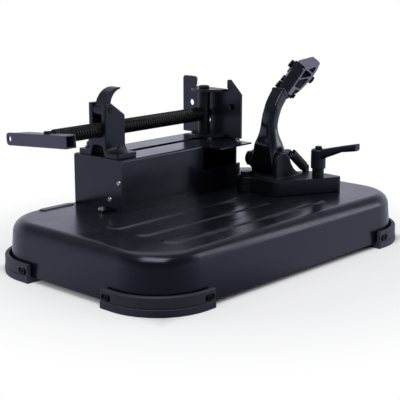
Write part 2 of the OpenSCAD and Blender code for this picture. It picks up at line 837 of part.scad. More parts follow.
module lever_arm_section(d, h) {
  rotate([0, 90, 0]) translate([0, 0, -0.5]) linear_extrude(1) round_rect(h, d, min(d, h) * 0.3);
}

// Clamping lever that lifts off its core to be turned back
module lock_lever() {
  color([0.25, 0.25, 0.27]) difference() {
    translate([lock_x, lock_y, 0]) {
      translate([0, 0, hub_z0]) cylinder(d = hub_d, h = hub_z1 - hub_z0 - 1.5);
      translate([0, 0, hub_z1 - 1.5 - eps]) cylinder(d1 = hub_d, d2 = hub_d - 3, h = 1.5);
      rotate([0, 0, lever_turn]) {
        hull() {
          translate([6, 0, hub_z1 - 6]) lever_arm_section(14, 13);
          translate([36, 0, hub_z1 + 4.2]) lever_arm_section(10, 7.6);
        }
        hull() {
          translate([36, 0, hub_z1 + 4]) lever_arm_section(10, 8);
          translate([56, 0, hub_z1 + 8]) lever_arm_section(12, 9);
        }
      }
    }
    translate([lock_x, lock_y, hub_z0 - 1]) cylinder(d = core_d + 2 * run_gap, h = core_h + 1.4);
    translate([lock_x, lock_y, hub_z0 - 1]) cylinder(d = cap_screw_d + 1.4, h = 40);
    translate([lock_x, lock_y, hub_z1 - spring_seat]) cylinder(d = cap_d + 0.4, h = spring_seat + 1);
  }
}

module lock_screw() {
  color([0.2, 0.2, 0.2]) translate([lock_x, lock_y, 0]) {
    translate([0, 0, hub_z0 + 4]) cylinder(d = cap_screw_d, h = hub_z1 - hub_z0 - 4.5);
    translate([0, 0, hub_z1 - 0.5]) cylinder(d = cap_d, h = 3.5);
    translate([0, 0, hub_z1 + 3 - eps]) cylinder(d1 = cap_d, d2 = cap_d - 2, h = 0.8);
  }
}

module lock_spring() {
  color([0.6, 0.6, 0.6]) translate([lock_x, lock_y, hub_z1 - spring_seat + 0.1]) difference() {
    cylinder(d = cap_d - 0.4, h = spring_seat - 0.7);
    translate([0, 0, -1]) cylinder(d = cap_d - 2.6, h = spring_seat + 2);
  }
}

// ---- arm ----

// Side outline of the arm: a bend above a round boss
module arm_side() {
  half = arm_depth / 2;
  translate([pivot_x, pivot_z]) circle(boss_r);
  polygon(concat(
    [[pivot_x - boss_r, pivot_z], [pivot_x - half - 3.4, 127]],
    [[pivot_x - half - 1, 134], [pivot_x - half, bend_z]],
    arc(pivot_x + arm_bend, bend_z, arm_bend + half, 180, 180 - bend_turn, 12),
    arc(pivot_x + arm_bend, bend_z, arm_bend - half + 1, 180 - bend_turn, 180, 12),
    [[pivot_x + half - 1, bend_z], [pivot_x + half + 2.6, 127], [pivot_x + boss_r, pivot_z]]
  ));
}

// Front outline of the arm: wide at the boss, narrow above its shoulders
module arm_front() {
  wide = arm_wid / 2;
  neck = arm_neck / 2;
  polygon([
    [-wide, pivot_z - 14], [-wide, 124], [-wide + 3.5, 133], [-neck, 147], [-neck, 212],
    [neck, 212], [neck, 147], [wide - 3.5, 133], [wide, 124], [wide, pivot_z - 14]
  ]);
}

module swing_arm() {
  color([0.15, 0.15, 0.17]) difference() {
    union() {
      intersection() {
        along_y(arm_y - arm_wid / 2, arm_wid) arm_side();
        along_x(pivot_x - 20, 80) translate([arm_y, 0]) arm_front();
      }
      // end flange
      at_arm_end() translate([-3, 0, 0]) rotate([0, 90, 0]) linear_extrude(3) round_rect(19, arm_neck + 3, 3);
      // tail lug for the return spring
      along_y(arm_y - arm_wid / 2, 6) difference() {
        union() {
          translate([spring_top[0], spring_top[2]]) circle(5);
          polygon([[106, 119], [125, 117.5], [125, 107.5], [106, 107]]);
        }
        translate([spring_top[0], spring_top[2]]) circle(2.2);
      }
    }
    translate([pivot_x, -60, pivot_z]) rotate([-90, 0, 0]) cylinder(d = axle_d + 2 * run_gap, h = 100);
    at_arm_end() translate([-16, 0, 0]) rotate([0, 90, 0]) cylinder(d = bracket_stud_d + 2 * run_gap, h = 30);
  }
}

module return_spring() {
  reach = spring_end - spring_top;
  length = norm(reach);
  color([0.3, 0.3, 0.3]) translate(spring_top)
    rotate([0, acos(reach[2] / length), atan2(reach[1], reach[0])]) translate([0, 0, 6]) difference() {
      cylinder(d = return_spring_d, h = length - 11);
      translate([0, 0, -1]) cylinder(d = return_spring_d - 4.4, h = length);
    }
}

// Post that holds the spring's lower end
module spring_anchor() {
  color([0.2, 0.2, 0.22]) difference() {
    along_y(spring_end[1] - 3, 6) union() {
      translate([spring_end[0], spring_end[2]]) circle(4);
      translate([spring_end[0] - 4, plate_top]) square([8, spring_end[2] - plate_top]);
    }
    translate([spring_end[0], spring_end[1] - 10, spring_end[2]]) rotate([-90, 0, 0]) cylinder(d = 3, h = 20);
  }
}

// Stud through the arm's end, pinned in the block by the first clamp bolt
module bracket_stud() {
  color([0.4, 0.4, 0.4]) difference() {
    at_arm_end() translate([-15, 0, 0]) rotate([0, 90, 0]) cylinder(d = bracket_stud_d, h = 28);
    at_arm_end(bracket_turn) translate([bolt_x[0], 0, 0]) rotate([90, 0, 0])
      cylinder(d = clamp_bolt_d + 0.2, h = 20, center = true);
  }
}

// ---- grinder bracket, in the turned arm-end frame: x out along the arm, -y across towards the tool ----

// Block on the stud that the tool frame is bolted to
module clamp_block() {
  color([0.17, 0.17, 0.18]) at_arm_end(bracket_turn) difference() {
    union() {
      translate([0.5, -block_half_w, -7]) cube([40, 2 * block_half_w, 14]);
      // ear that carries the outer bolt past the block's end
      translate([34, block_half_w - 3, -7]) cube([13.9, 4.5, 14]);
      // boss on the block's back
      translate([18.5, block_half_w - 1, 0]) rotate([-90, 0, 0]) cylinder(d = 9, h = 4);
    }
    translate([-1, 0, 0]) rotate([0, 90, 0]) cylinder(d = bracket_stud_d + 0.02, h = 14.5);
    for (x = bolt_x) translate([x, -20, 0]) rotate([-90, 0, 0]) cylinder(d = clamp_bolt_d + 0.2, h = 40);
  }
}

// Outline of the frame: a flange along the block, a band across the top, a rim and a diagonal rib
module frame_outline() {
  polygon([
    [1, -7], [1, -12.5], [13, -12.5], [15, -18.4], [26, -20.2], [40, -22.3], [57, -22],
    [68, -20.2], [69.5, -17.5], [69.5, -8], [68.5, -6.5], [51, 5.5], [48, 5.5], [48, -7]
  ]);
}

module frame_pockets() {
  polygon([[49, -12.5], [60, -18.5], [49, -18.8]]);
  polygon([[46, -9.4], [46, -18.8], [43, -19], [31, -9.4]]);
  polygon([[27, -9.4], [39, -18.9], [18, -16.2], [16, -9.4]]);
}

// Cast frame with pockets on both sides of a thin web
module grinder_frame() {
  color([0.3, 0.3, 0.34]) at_arm_end(bracket_turn) difference() {
    translate([0, 0, -bracket_half_t]) linear_extrude(2 * bracket_half_t) frame_outline();
    for (z = [-bracket_half_t - 1, frame_web / 2]) translate([0, 0, z])
      linear_extrude(bracket_half_t + 1 - frame_web / 2) frame_pockets();
    for (x = bolt_x) translate([x, -30, 0]) rotate([-90, 0, 0]) cylinder(d = clamp_bolt_d + 0.2, h = 40);
  }
}

module clamp_bolts() {
  ends = [17.8, 26];
  heads = [block_half_w, block_half_w + 1.5];
  color([0.2, 0.2, 0.2]) at_arm_end(bracket_turn) for (i = [0, 1])
    translate([bolt_x[i], heads[i], 0]) rotate([90, 0, 0]) {
      translate([0, 0, -1]) cylinder(d = clamp_bolt_d, h = ends[i] + heads[i] + 1);
      mirror([0, 0, 1]) hex_head(10, 4);
    }
}

module clamp_nuts() {
  seats = [12.5, 22.3];
  color([0.2, 0.2, 0.2]) at_arm_end(bracket_turn) for (i = [0, 1])
    translate([bolt_x[i], -seats[i], 0]) rotate([90, 0, 0]) difference() {
      hex(10, 3);
      translate([0, 0, -1]) cylinder(d = clamp_bolt_d, h = 6);
    }
}

base_cover();
foot_front_right();
foot_front_left();
foot_rear_right();
foot_rear_left();
foot_screws();
vise_bed();
bed_end_plate();
fence_plate();
bed_screws();
screw_block();
block_nuts();
half_nut_lever();
half_nut_pin();
vise_screw();
crank_tube();
crank_bolt();
spigot_ring();
jaw_plate();
jaw_post();
post_cap();
guide_washer();
guide_nut();
swivel_base();
swivel_bolt();
swivel_washer();
pivot_axle();
pivot_washers();
lock_stud();
lock_nut_plate();
lock_lever();
lock_screw();
lock_spring();
swing_arm();
return_spring();
spring_anchor();
bracket_stud();
clamp_block();
grinder_frame();
clamp_bolts();
clamp_nuts();
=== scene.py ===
import json
import math

import bmesh
import bpy
import numpy as np
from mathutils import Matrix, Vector

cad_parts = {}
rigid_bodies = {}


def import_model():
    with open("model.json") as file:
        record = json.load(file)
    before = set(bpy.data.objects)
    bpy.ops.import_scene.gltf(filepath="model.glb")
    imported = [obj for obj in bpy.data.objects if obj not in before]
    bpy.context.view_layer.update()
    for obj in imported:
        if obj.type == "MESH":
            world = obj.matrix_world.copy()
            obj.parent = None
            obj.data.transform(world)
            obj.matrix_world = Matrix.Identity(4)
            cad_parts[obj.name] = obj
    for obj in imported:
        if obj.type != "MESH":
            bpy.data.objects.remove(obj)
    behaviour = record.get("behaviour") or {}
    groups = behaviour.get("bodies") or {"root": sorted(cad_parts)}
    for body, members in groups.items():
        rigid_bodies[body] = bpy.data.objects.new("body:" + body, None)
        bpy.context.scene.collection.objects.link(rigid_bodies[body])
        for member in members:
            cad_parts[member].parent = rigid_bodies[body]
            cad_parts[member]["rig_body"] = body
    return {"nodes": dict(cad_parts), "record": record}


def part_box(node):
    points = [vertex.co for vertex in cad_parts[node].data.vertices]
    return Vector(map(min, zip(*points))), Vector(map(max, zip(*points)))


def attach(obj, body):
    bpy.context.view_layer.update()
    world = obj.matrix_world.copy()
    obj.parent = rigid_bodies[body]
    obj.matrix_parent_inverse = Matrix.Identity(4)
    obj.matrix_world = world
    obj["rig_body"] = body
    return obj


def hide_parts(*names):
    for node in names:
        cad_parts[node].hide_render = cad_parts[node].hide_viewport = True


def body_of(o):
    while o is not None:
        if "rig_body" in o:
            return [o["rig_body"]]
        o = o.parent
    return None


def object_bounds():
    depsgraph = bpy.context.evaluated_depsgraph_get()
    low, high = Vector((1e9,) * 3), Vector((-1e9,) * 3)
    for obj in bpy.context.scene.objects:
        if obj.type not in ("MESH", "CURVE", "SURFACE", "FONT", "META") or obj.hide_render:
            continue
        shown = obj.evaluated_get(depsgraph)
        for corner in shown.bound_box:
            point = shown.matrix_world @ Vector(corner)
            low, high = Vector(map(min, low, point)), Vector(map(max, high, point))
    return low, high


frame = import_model()
cad_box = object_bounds()
NODES = frame["nodes"]
SLOTS = {item["node"]: item["material_slot"] for item in frame["record"]["subparts"]}
MM = 0.001


# ---- node trees ----


class NodeTree:
    """A node tree that starts empty, with short ways to add nodes and feed their inputs."""

    def __init__(self, tree):
        self.tree = tree
        self.tree.nodes.clear()

    def add(self, kind, **values):
        node = self.tree.nodes.new(kind)
        for key, value in values.items():
            setattr(node, key, value)
        return node

    def feed(self, socket, value):
        """Links value to the socket if it is another node's output, and stores it there if it isn't."""
        if hasattr(value, "is_linked"):
            self.tree.links.new(value, socket)
        else:
            socket.default_value = value

    def set(self, node, **values):
        """Feeds the inputs with these names, in which an underscore stands for a space."""
        for key, value in values.items():
            self.feed(node.inputs[key.replace("_", " ")], value)
        return node

    def ramp(self, value, low, high, start=0.0, end=1.0):
        """Goes from low to high while value goes from start to end."""
        node = self.add("ShaderNodeMapRange")
        self.set(node, From_Min=start, From_Max=end, To_Min=low, To_Max=high, Value=value)
        return node.outputs[0]

    def mix(self, factor, a, b):
        """Colour a where factor is 0, colour b where it is 1."""
        node = self.add("ShaderNodeMix", data_type="RGBA")
        for index, value in ((0, factor), (6, a), (7, b)):
            self.feed(node.inputs[index], (*value, 1.0) if isinstance(value, tuple) else value)
        return node.outputs[2]

    def mix_shader(self, factor, a, b):
        node = self.add("ShaderNodeMixShader")
        for socket, value in zip(node.inputs, (factor, a, b)):
            self.feed(socket, value)
        return node.outputs[0]

    def math(self, kind, a, b=0.0):
        node = self.add("ShaderNodeMath", operation=kind)
        self.feed(node.inputs[0], a)
        self.feed(node.inputs[1], b)
        return node.outputs[0]

    def dot(self, a, b):
        node = self.add("ShaderNodeVectorMath", operation="DOT_PRODUCT")
        self.feed(node.inputs[0], a)
        self.feed(node.inputs[1], b)
        return node.outputs["Value"]

    def length(self, vector):
        node = self.add("ShaderNodeVectorMath", operation="LENGTH")
        self.feed(node.inputs[0], vector)
        return node.outputs["Value"]

    def unit(self, vector):
        node = self.add("ShaderNodeVectorMath", operation="NORMALIZE")
        self.feed(node.inputs[0], vector)
        return node.outputs["Vector"]

    def split(self, vector):
        """A vector's parts, by the names X, Y and Z."""
        node = self.add("ShaderNodeSeparateXYZ")
        self.feed(node.inputs[0], vector)
        return node.outputs


class Shader(NodeTree):
    """A new material with one principled surface."""

    def __init__(self, name):
        self.name = name
        self.material = bpy.data.materials.new(name)
        self.material.use_nodes = True
        super().__init__(self.material.node_tree)
        self.out = self.add("ShaderNodeOutputMaterial")
        self.surface = self.add("ShaderNodeBsdfPrincipled")
        self.feed(self.out.inputs[0], self.surface.outputs[0])
        self.coords = self.add("ShaderNodeTexCoord")

    def noise(self, scale, detail=4.0, rough=0.55, stretch=None):
        """Noise over the object, with about scale lumps to a metre."""
        vector = self.coords.outputs["Object"]
        if stretch:
            mapping = self.add("ShaderNodeMapping")
            vector = self.set(mapping, Scale=stretch, Vector=vector).outputs[0]
        node = self.add("ShaderNodeTexNoise")
        self.set(node, Scale=scale, Detail=detail, Roughness=rough, Vector=vector)
        return node.outputs["Fac"]

    def edges(self, radius, gain):
        """High where the surface turns within the radius; paints lighten these edges partly as wear and
        partly as a painted highlight, steels lighten them too.
        """
        bevel = self.set(self.add("ShaderNodeBevel", samples=4), Radius=radius)
        geometry = self.add("ShaderNodeNewGeometry")
        turned = self.math("SUBTRACT", 1.0, self.dot(bevel.outputs[0], geometry.outputs["Normal"]))
        edge_mask = self.math("MULTIPLY", turned, gain)
        edge_mask.node.use_clamp = True
        return edge_mask

    def facing_up(self):
        """High on surfaces that look up, where dust settles."""
        normal = self.add("ShaderNodeNewGeometry").outputs["Normal"]
        return self.ramp(self.split(normal)["Z"], 0.0, 1.0, start=0.55, end=0.98)

    def bump(self, height, strength, distance, under=None):
        """A bumpy normal, laid over another one if under is given."""
        node = self.add("ShaderNodeBump")
        self.set(node, Strength=strength, Distance=distance, Height=height)
        if under is not None:
            self.set(node, Normal=under)
        return node.outputs[0]


# ---- materials: lengths in metres ----

COOL = (0.74, 0.79, 1.0, 1.0)
PAINT_DUST = (0.36, 0.37, 0.42)
RUBBER_DUST = (0.16, 0.16, 0.18)
BARE_METAL = (0.42, 0.42, 0.52)
BARE_METALLIC = 0.6
BARE_FACING = 0.985
BARE_DEPTH = 0.0003


def scaled(colour, gain, lift=0.0):
    """A colour made gain times as bright, and then lighter by lift."""
    return tuple(min(1.0, c * gain + lift) for c in colour)


def painted(name, colour, rough, grain, grain_depth, specular=0.5, wear=0.25, dust=0.02, coat=0.0):
    """Dark coating on metal: soft tone changes, fine grain, a little dust, and lighter edges that are
    partly wear and partly a painted highlight.
    """
    s = Shader(name)
    tone = s.mix(s.noise(9.0, 3.0), scaled(colour, 0.75), scaled(colour, 1.3))
    cloud = s.noise(38.0, 5.0, 0.6)
    patches = s.ramp(s.noise(160.0, 5.0), 0.25, 1.0, start=0.35, end=0.65)
    # Edges lighter by wear times patches: partly real wear, partly a painted highlight for the light lines
    # along rounded edges.
    edge_wear_and_highlight = s.math("MULTIPLY", s.edges(0.001, 3.2), patches)
    tone = s.mix(s.math("MULTIPLY", edge_wear_and_highlight, wear), tone, scaled(colour, 2.4, 0.04))
    settled = s.math("MULTIPLY", s.facing_up(), s.ramp(cloud, 0.0, dust, start=0.35, end=0.75))
    tone = s.mix(settled, tone, PAINT_DUST)
    smear = s.ramp(s.noise(14.0, 4.0, 0.6), 0.0, 0.05, start=0.45, end=0.7)
    roughness = s.math("ADD", s.ramp(cloud, rough - 0.03, rough + 0.04, start=0.3, end=0.7), smear)
    peel = s.bump(s.noise(grain, 3.0, 0.5), 0.1, grain_depth)
    wave = s.bump(s.noise(18.0, 2.0, 0.4), 0.03, 0.0005, peel)
    s.set(s.surface, Base_Color=tone, Roughness=roughness, Normal=wave)
    s.set(s.surface, Specular_IOR_Level=specular, Specular_Tint=COOL, Coat_Weight=coat, Coat_Roughness=0.1)
    return s


def machined(s, normal, offset):
    """Bares the flat outer face that points along normal and lies offset metres out from the origin."""
    masks = []
    for output, level in (("Normal", BARE_FACING), ("Object", offset - BARE_DEPTH)):
        masks.append(s.math("GREATER_THAN", s.dot(s.coords.outputs[output], normal), level))
    bare = s.math("MULTIPLY", *masks)
    paint = s.surface.inputs["Base Color"].links[0].from_socket
    s.set(s.surface, Base_Color=s.mix(bare, paint, BARE_METAL))
    s.set(s.surface, Metallic=s.math("MULTIPLY", bare, BARE_METALLIC))


def steel(name, colour, rough, metallic=1.0, stretch=(1.0, 1.0, 1.0), blot=0.35):
    """Bare, plated or oxide-blackened steel with fine scratches and blotches."""
    s = Shader(name)
    blotches = s.noise(70.0, 6.0, 0.7)
    spread = s.ramp(blotches, 0.0, 1.0, start=0.35, end=0.68)
    tone = s.mix(spread, scaled(colour, 1 - blot), scaled(colour, 1 + blot))
    tone = s.mix(s.math("MULTIPLY", s.edges(0.0006, 3.0), 0.5), tone, scaled(colour, 1.9, 0.05))
    lines = s.noise(520.0, 3.0, 0.6, stretch)
    cloudy = s.ramp(blotches, rough - 0.08, rough + 0.12, start=0.3, end=0.7)
    roughness = s.math("ADD", cloudy, s.math("MULTIPLY", lines, 0.06))
    scratched = s.bump(lines, 0.2, 0.00006)
    s.set(s.surface, Base_Color=tone, Roughness=roughness, Metallic=metallic, Normal=scratched)
    return s


def rubber(name, colour):
    """Moulded rubber, scuffed, with a little dust on top."""
    s = Shader(name)
    tone = s.mix(s.noise(30.0, 4.0), scaled(colour, 0.7), scaled(colour, 1.4))
    scuff = s.ramp(s.noise(110.0, 6.0, 0.7), 0.0, 1.0, start=0.58, end=0.72)
    settled = s.math("ADD", s.math("MULTIPLY", s.facing_up(), 0.08), s.math("MULTIPLY", scuff, 0.06))
    tone = s.mix(settled, tone, RUBBER_DUST)
    mould = s.bump(s.noise(420.0, 3.0, 0.6), 0.4, 0.00012)
    soft = s.bump(s.noise(60.0, 3.0), 0.15, 0.0004, mould)
    s.set(s.surface, Base_Color=tone, Roughness=s.ramp(scuff, 0.55, 0.75), Normal=soft)
    s.set(s.surface, Specular_IOR_Level=0.4, Specular_Tint=COOL)
    return s


# Paints: colour, roughness, grains to a metre and their depth. Steels: colour, roughness, metallic.
# wear sets how much a paint lightens its edges, partly as wear and partly as a painted highlight;
# gloss_black's high value is there to paint highlight lines along its edges.
frame_paint = painted("frame_paint", (0.016, 0.0165, 0.025), 0.2, 500.0, 0.00015,
                      specular=1.0, wear=0.3, coat=1.0)
SHADERS = (
    painted("black_powder", (0.005, 0.0055, 0.0095), 0.22, 850.0, 0.00008, wear=0.1),
    painted("gloss_black", (0.005, 0.005, 0.008), 0.17, 700.0, 0.00005, specular=0.48, wear=0.8),
    painted("satin_black", (0.007, 0.0072, 0.011), 0.34, 700.0, 0.00005, specular=0.6),
    painted("cast_black", (0.006, 0.006, 0.009), 0.32, 420.0, 0.0002, specular=0.45),
    painted("arm_black", (0.004, 0.004, 0.006), 0.16, 260.0, 0.0002, specular=0.55, wear=0.3, coat=0.3),
    painted("crank_paint", (0.058, 0.059, 0.083), 0.36, 600.0, 0.00012, wear=0.35),
    frame_paint,
    steel("black_oxide", (0.02, 0.02, 0.019), 0.3, 0.8, stretch=(1.0, 12.0, 12.0)),
    steel("zinc_steel", (0.42, 0.42, 0.43), 0.32),
    steel("dark_zinc", (0.085, 0.085, 0.1), 0.3, 0.95),
    steel("spring_steel", (0.06, 0.06, 0.07), 0.32, 0.95),
    rubber("foot_rubber", (0.04, 0.04, 0.051)),
)
LOOKS = {shader.name: shader.material for shader in SHADERS}

# ---- mesh helpers: lengths in millimetres, angles in degrees ----

# Edges that turn more than these stay sharp.
SHARP = 32.0
SHARP_CAD = 34.0
SHARP_ROUNDED = 50.0
SHARP_SOFT = 60.0
# Vertices closer together than these, in metres, are one.
SAME_POINT = 1e-7
SAME_CAD_POINT = 2e-6


def box_mm(node):
    """Lowest and highest corner of a CAD node."""
    low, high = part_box(node)
    return low / MM, high / MM


def add_object(name, data):
    obj = bpy.data.objects.new(name, data)
    bpy.context.scene.collection.objects.link(obj)
    return obj


def weld(obj, distance):
    """Joins vertices that lie within a distance in metres, and turns every face outward."""
    mesh = bmesh.new()
    mesh.from_mesh(obj.data)
    bmesh.ops.remove_doubles(mesh, verts=mesh.verts, dist=distance)
    bmesh.ops.recalc_face_normals(mesh, faces=mesh.faces)
    mesh.to_mesh(obj.data)
    mesh.free()


def dress(obj, look, angle):
    """Gives a mesh its material and smooth shading; edges that turn more than the angle stay sharp."""
    obj.data.materials.clear()
    obj.data.materials.append(LOOKS[look])
    obj.data.shade_smooth()
    obj.data.set_sharp_from_angle(angle=math.radians(angle))


def settle(obj, body, look, angle):
    """Cleans and dresses a new piece and sets it on its body."""
    weld(obj, SAME_POINT)
    dress(obj, look, angle)
    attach(obj, body)
    return obj


def new_piece(name, verts, faces, body, look, angle=SHARP):
    """A piece made of vertices and faces in the row frame, dressed in its look."""
    mesh = bpy.data.meshes.new(name)
    mesh.from_pydata([tuple(c * MM for c in v) for v in verts], [], faces)
    mesh.validate()
    return settle(add_object(name, mesh), body, look, angle)


def copy_node(node, name):
    """A clean copy of a CAD node's mesh."""
    obj = add_object(name, NODES[node].data.copy())
    weld(obj, SAME_CAD_POINT)
    return obj


def bake(obj):
    """Applies obj's modifiers."""
    depsgraph = bpy.context.evaluated_depsgraph_get()
    mesh = bpy.data.meshes.new_from_object(obj.evaluated_get(depsgraph))
    obj.modifiers.clear()
    obj.data = mesh


def flatten_faces(obj):
    """Keeps large flat faces flat beside the small curved ones."""
    flat = obj.modifiers.new("flat", "WEIGHTED_NORMAL")
    flat.keep_sharp = True
    flat.weight = 100


def stand_for(node, obj, look, angle):
    """Settles obj on the body of the CAD node that it replaces; look is the node's own unless given."""
    settle(obj, body_of(NODES[node])[0], look or SLOTS[node], angle)
    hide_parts(node)


def rounded(node, name, width, look=None, segments=2, flat_angle=0.6, edge_angle=30.0):
    """Stands for a CAD node with its sharp edges rounded over."""
    obj = copy_node(node, name)
    mesh = bmesh.new()
    mesh.from_mesh(obj.data)
    bmesh.ops.dissolve_limit(mesh, angle_limit=math.radians(flat_angle), verts=mesh.verts, edges=mesh.edges)
    mesh.to_mesh(obj.data)
    mesh.free()
    bevel = obj.modifiers.new("round", "BEVEL")
    bevel.width = width * MM
    bevel.segments = segments
    bevel.limit_method = "ANGLE"
    bevel.angle_limit = math.radians(edge_angle)
    bevel.use_clamp_overlap = True
    bake(obj)
    stand_for(node, obj, look, SHARP_ROUNDED)
    flatten_faces(obj)
    bake(obj)


def cast(node, name, voxel, smooths, look=None, shaft=None):
    """Stands for a CAD node as a casting, with its edges and inside corners softened.

    Within shaft, a range of heights, the casting also gets a nearly round section.
    """
    obj = copy_node(node, name)
    remesh = obj.modifiers.new("cast", "REMESH")
    remesh.mode = "VOXEL"
    remesh.voxel_size = voxel * MM
    soften = obj.modifiers.new("soften", "SMOOTH")
    soften.factor = 0.5
    soften.iterations = smooths
    bake(obj)
    if shaft:
        round_shaft(obj, *shaft)
    stand_for(node, obj, look, SHARP_SOFT)


def round_shaft(obj, low, high, blend=10.0, passes=170, growth=1.3):
    """Smooths a casting between two heights until its section is nearly round, then grows it back."""
    group = obj.vertex_groups.new(name="shaft")
    for vertex in obj.data.vertices:
        z = vertex.co.z / MM
        weight = min(1.0, max(0.0, (z - low) / blend), max(0.0, (high - z) / blend))
        group.add([vertex.index], weight, "REPLACE")
    wear = obj.modifiers.new("wear", "SMOOTH")
    wear.factor = 0.5
    wear.iterations = passes
    wear.vertex_group = "shaft"
    grow = obj.modifiers.new("grow", "DISPLACE")
    grow.strength = growth * MM
    grow.mid_level = 0.0
    grow.vertex_group = "shaft"
    bake(obj)
    obj.vertex_groups.clear()


# ---- shapes: each gives vertices and faces ----

ACROSS_WIRE = (0.3, 0.5, 0.8)  # any direction that no wire starts in


def skin(rows, count, closed_start=True):
    """Faces over closed rows of count points each: bands between the rows, and a cap on each closed end."""
    faces = []
    for i in range(rows - 1):
        for k in range(count):
            m = (k + 1) % count
            faces.append((i * count + k, i * count + m, (i + 1) * count + m, (i + 1) * count + k))
    if closed_start:
        faces.append(tuple(range(count - 1, -1, -1)))
    faces.append(tuple((rows - 1) * count + k for k in range(count)))
    return faces


def around(origin, axis):
    """A function that turns radius, angle and height about an axis through origin into a point."""
    turn = Vector((0, 0, 1)).rotation_difference(Vector(axis)).to_matrix()
    return lambda r, a, h: Vector(origin) + turn @ Vector((r * math.cos(a), r * math.sin(a), h))


def lathe(profile, origin, axis, sides=32):
    """Revolves (radius, height) pairs about an axis through origin."""
    point = around(origin, axis)
    verts = [point(r, 2 * math.pi * k / sides, h) for r, h in profile for k in range(sides)]
    return verts, skin(len(profile), sides)


def threaded_rod(origin, axis, length, radius, pitch, depth, plain, sides=48, steps=8):
    """A rod with a helical thread that fades out before its last, plain stretch.

    The thread has steps rows of points to a turn, and both ends of the rod are chamfered.
    """
    crest, root = 0.2, 0.325  # a flank's two ends, in pitches from the middle of the crest
    chamfer, chamfer_depth = 0.5, 0.4
    point = around(origin, axis)
    rows = int(length / pitch * steps)
    verts = []
    for i in range(rows + 1):
        h = length * i / rows
        fade = min(1.0, h / pitch, max(0.0, (length - plain - h) / pitch))
        cut = chamfer_depth if h < chamfer or length - h < chamfer else 0.0
        for k in range(sides):
            off_crest = abs((h / pitch - k / sides) % 1.0 - 0.5)
            tooth = min(1.0, max(0.0, (root - off_crest) / (root - crest)))
            verts.append(point(radius - depth * (1.0 - tooth) * fade - cut, 2 * math.pi * k / sides, h))
    return verts, skin(rows + 1, sides)


def tube_along(points, radius, sides=8):
    """Round wire along points."""
    tangents = np.gradient(points, axis=0)
    tangents /= np.linalg.norm(tangents, axis=1)[:, None]
    side = np.cross(tangents[0], ACROSS_WIRE)
    side /= np.linalg.norm(side)
    verts = []
    for point, tangent in zip(points, tangents):
        side = side - tangent * (side @ tangent)
        side /= np.linalg.norm(side)
        other = np.cross(tangent, side)
        for k in range(sides):
            a = 2 * math.pi * k / sides
            verts.append(point + radius * (math.cos(a) * side + math.sin(a) * other))
    return verts, skin(len(points), sides)


def coil(start, end, radius, wire, turns, hook=0.0, straight=0.4, steps=20):
    """A helical spring between two points.

    With a hook, both ends run in to the axis over that length, and a share of it stays straight.
    """
    start, end = np.array(start, float), np.array(end, float)
    along = (end - start) / np.linalg.norm(end - start)
    side = np.cross(along, (0, 1, 0))
    side /= np.linalg.norm(side)
    other = np.cross(along, side)
    first, last = start + along * hook, end - along * hook
    points = []
    for i in range(turns * steps + 1):
        a = 2 * math.pi * i / steps
        centre = first + (last - first) * i / (turns * steps)
        points.append(centre + radius * (math.cos(a) * side + math.sin(a) * other))
    if hook:
        stub = along * hook * straight
        points = [start - along * wire, start + stub, *points, end - stub, end + along * wire]
    return tube_along(np.array(points), wire / 2)


def merged(*meshes):
    """Several meshes as one."""
    verts, faces = [], []
    for part_verts, part_faces in meshes:
        base = len(verts)
        verts += part_verts
        faces += [tuple(base + i for i in face) for face in part_faces]
    return verts, faces


# ---- base: soft pressed ribs over the CAD's stepped ones ----

BASE_TOP = box_mm("swivel_base")[0].z  # the mitre base stands on the pressed base


def rib(name, start_x, end_x, y, radius=13.2, height=1.45, fall=4.6,
        steps=6, core=3.0, sink=0.02, sides=24):
    """A rib with round ends; inward from its outline it rises over the width fall to a flat top."""
    offsets = [fall * i / steps for i in range(steps + 1)] + [radius - core]
    verts = []
    for offset in offsets:
        z = BASE_TOP - sink + height * (0.5 - 0.5 * math.cos(math.pi * min(1.0, offset / fall)))
        r = radius - offset
        for centre, first_angle in ((end_x - radius, -90), (start_x + radius, 90)):
            for k in range(sides + 1):
                a = math.radians(first_angle + 180 * k / sides)
                verts.append((centre + r * math.cos(a), y + r * math.sin(a), z))
    faces = skin(len(offsets), 2 * (sides + 1), closed_start=False)
    new_piece(name, verts, faces, "stand", "black_powder", angle=SHARP_SOFT)


rib("pressed_rib_near", start_x=-173, end_x=109, y=-90)
rib("pressed_rib_middle", start_x=-173, end_x=56, y=-46.5)
rib("pressed_rib_inner", start_x=-173, end_x=56, y=-3)
rib("pressed_rib_outer", start_x=-172, end_x=-118.5, y=121, radius=6.9, height=1.4, fall=3.0)

# ---- screw: tang, threaded rod with a plain end, and grooved spigot ----

X_AXIS = (1, 0, 0)
TANG_LENGTH = 15.0
TANG_OVERLAP = 1.0
TANG_R = 4.0
TANG_CHAMFER = 0.6
TANG = [(TANG_R - TANG_CHAMFER, 0), (TANG_R, TANG_CHAMFER), (TANG_R, TANG_LENGTH + TANG_OVERLAP)]
THREAD_PITCH = 4.0
THREAD_DEPTH = 1.0
PLAIN_LENGTH = 17.0
SHOULDER_TO_POST = 9.0
SPIGOT_OVERLAP = 0.5
SPIGOT_R = 4.0
GROOVE_R = 2.9
TIP_R = 3.2
SPIGOT = [(SPIGOT_R, 0), (SPIGOT_R, 15.2), (GROOVE_R, 15.6), (GROOVE_R, 16.9)]
SPIGOT += [(SPIGOT_R, 17.3), (SPIGOT_R, 18.6), (TIP_R, 19.5)]


